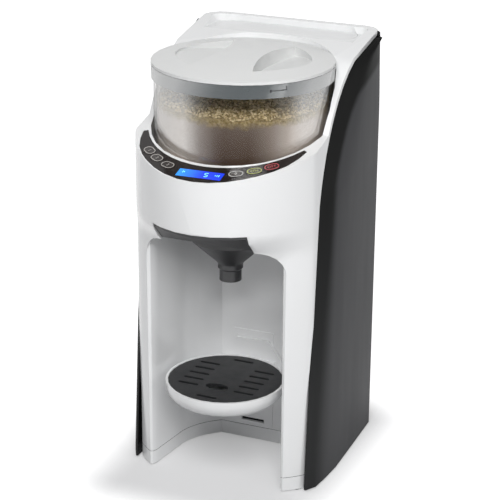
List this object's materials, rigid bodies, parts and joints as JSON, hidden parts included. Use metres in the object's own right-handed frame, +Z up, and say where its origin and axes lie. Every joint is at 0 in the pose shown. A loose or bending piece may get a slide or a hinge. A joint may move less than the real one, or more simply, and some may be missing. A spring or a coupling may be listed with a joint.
{
  "type": "baby formula maker",
  "caption": "Countertop maker for baby formula: moulded body with a bottle bay, funnel and drip tray, clear powder hopper with a dosing drive, and a rear water tank.",
  "frame": {"origin": "centre of the footprint of the whole machine, at the underside of its feet", "axes": "+X to the right seen from the front, -Y out of the front, +Z up"},
  "size_m": [0.186, 0.23, 0.386],
  "materials": {
    "white_plastic": "glossy moulded",
    "charcoal_plastic": "satin moulded",
    "gloss_black": "high gloss",
    "screen": "lit blue display",
    "key_print": "satin with printed rings",
    "board_green": "circuit board",
    "clear_plastic": "clear moulded",
    "ring_plastic": "tinted clear",
    "lid_plastic": "satin moulded",
    "seal_rubber": "silicone",
    "nylon": "moulded nylon",
    "steel": "bright",
    "funnel_plastic": "satin moulded",
    "grate_plastic": "fine grain",
    "smoke_plastic": "smoke clear",
    "foot_rubber": "matte"
  },
  "bodies": {
    "housing": {"front_housing": "white_plastic", "base_tray": "white_plastic", "side_panel_left": "charcoal_plastic", "side_panel_right": "charcoal_plastic", "rear_cover": "charcoal_plastic", "control_panel": "gloss_black", "display_window": "screen", "panel_board": "board_green", "drive_bearing": "nylon", "idler_pin": "steel", "gear_plate": "steel", "drive_motor": "steel", "powder_chute": "nylon", "funnel_rail_left": "charcoal_plastic", "funnel_rail_right": "charcoal_plastic", "tank_dock": "charcoal_plastic", "port_seal": "seal_rubber", "chassis_plate": "steel", "pump": "funnel_plastic", "heater": "steel", "water_nozzle": "nylon", "main_board": "board_green", "power_inlet": "charcoal_plastic", "hose_tank_pump": "seal_rubber", "hose_pump_heater": "seal_rubber", "hose_heater_nozzle": "seal_rubber", "foot_1": "foot_rubber", "foot_2": "foot_rubber", "foot_3": "foot_rubber", "foot_4": "foot_rubber", "base_screw_1": "steel", "base_screw_2": "steel", "base_screw_3": "steel", "base_screw_4": "steel"},
    "key_1_body": {"key_1": "key_print"},
    "key_2_body": {"key_2": "key_print"},
    "key_3_body": {"key_3": "key_print"},
    "key_4_body": {"key_4": "key_print"},
    "key_5_body": {"key_5": "key_print"},
    "key_6_body": {"key_6": "key_print"},
    "hopper_body": {"hopper": "clear_plastic", "dosing_scraper": "nylon"},
    "lid_body": {"hopper_lid": "lid_plastic", "lid_ring": "ring_plastic", "lid_seal": "seal_rubber"},
    "rotor_body": {"dosing_wheel": "nylon", "stirrer": "nylon"},
    "drive_body": {"drive_gear": "nylon"},
    "idler_body": {"idler_gear": "nylon"},
    "pinion_body": {"motor_pinion": "steel"},
    "funnel_body": {"funnel_cover": "funnel_plastic", "funnel": "funnel_plastic"},
    "tray_body": {"drip_tray": "white_plastic"},
    "grate_body": {"tray_grate": "grate_plastic"},
    "tank_body": {"tank": "smoke_plastic", "tank_filter": "nylon"},
    "tank_lid_body": {"tank_lid": "white_plastic"}
  },
  "joints": [
    {"name": "key_1_press", "type": "slide", "parent": "housing", "child": "key_1_body", "axis": [0, 0, -1], "range_m": [0, 0.0008], "stiffness_N_per_m": 300, "springref_m": -0.001},
    {"name": "key_2_press", "type": "slide", "parent": "housing", "child": "key_2_body", "axis": [0, 0, -1], "range_m": [0, 0.0008], "stiffness_N_per_m": 300, "springref_m": -0.001},
    {"name": "key_3_press", "type": "slide", "parent": "housing", "child": "key_3_body", "axis": [0, 0, -1], "range_m": [0, 0.0008], "stiffness_N_per_m": 300, "springref_m": -0.001},
    {"name": "key_4_press", "type": "slide", "parent": "housing", "child": "key_4_body", "axis": [0, 0, -1], "range_m": [0, 0.0008], "stiffness_N_per_m": 300, "springref_m": -0.001},
    {"name": "key_5_press", "type": "slide", "parent": "housing", "child": "key_5_body", "axis": [0, 0, -1], "range_m": [0, 0.0008], "stiffness_N_per_m": 300, "springref_m": -0.001},
    {"name": "key_6_press", "type": "slide", "parent": "housing", "child": "key_6_body", "axis": [0, 0, -1], "range_m": [0, 0.0008], "stiffness_N_per_m": 300, "springref_m": -0.001},
    {"name": "hopper_lift", "type": "slide", "parent": "housing", "child": "hopper_body", "axis": [0, 0, 1], "range_m": [0, 0.12]},
    {"name": "lid_lift", "type": "slide", "parent": "hopper_body", "child": "lid_body", "axis": [0, 0, 1], "range_m": [0, 0.08]},
    {"name": "rotor_spin", "type": "hinge", "parent": "hopper_body", "child": "rotor_body", "pos_m": [0, -0.0073, 0.292], "axis": [0, 0, 1], "continuous": true},
    {"name": "drive_spin", "type": "hinge", "parent": "housing", "child": "drive_body", "pos_m": [0, -0.0073, 0.26], "axis": [0, 0, 1], "continuous": true},
    {"name": "idler_spin", "type": "hinge", "parent": "housing", "child": "idler_body", "pos_m": [0, 0.02, 0.26], "axis": [0, 0, 1], "continuous": true},
    {"name": "pinion_spin", "type": "hinge", "parent": "housing", "child": "pinion_body", "pos_m": [0, 0.0421, 0.26], "axis": [0, 0, 1], "continuous": true},
    {"name": "funnel_slide", "type": "slide", "parent": "housing", "child": "funnel_body", "axis": [0, -1, 0], "range_m": [0, 0.12]},
    {"name": "tray_slide", "type": "slide", "parent": "housing", "child": "tray_body", "axis": [0, -1, 0], "range_m": [0, 0.12]},
    {"name": "grate_lift", "type": "slide", "parent": "tray_body", "child": "grate_body", "axis": [0, 0, 1], "range_m": [0, 0.05]},
    {"name": "tank_lift", "type": "slide", "parent": "housing", "child": "tank_body", "axis": [0, 0, 1], "range_m": [0, 0.37]},
    {"name": "tank_lid_lift", "type": "slide", "parent": "tank_body", "child": "tank_lid_body", "axis": [0, 0, 1], "range_m": [0, 0.05]}
  ],
  "couplings": [
    {"joint": "drive_spin", "follows": "rotor_spin", "ratio": 1},
    {"joint": "idler_spin", "follows": "rotor_spin", "ratio": -0.90909},
    {"joint": "pinion_spin", "follows": "rotor_spin", "ratio": 1.6667}
  ]
}
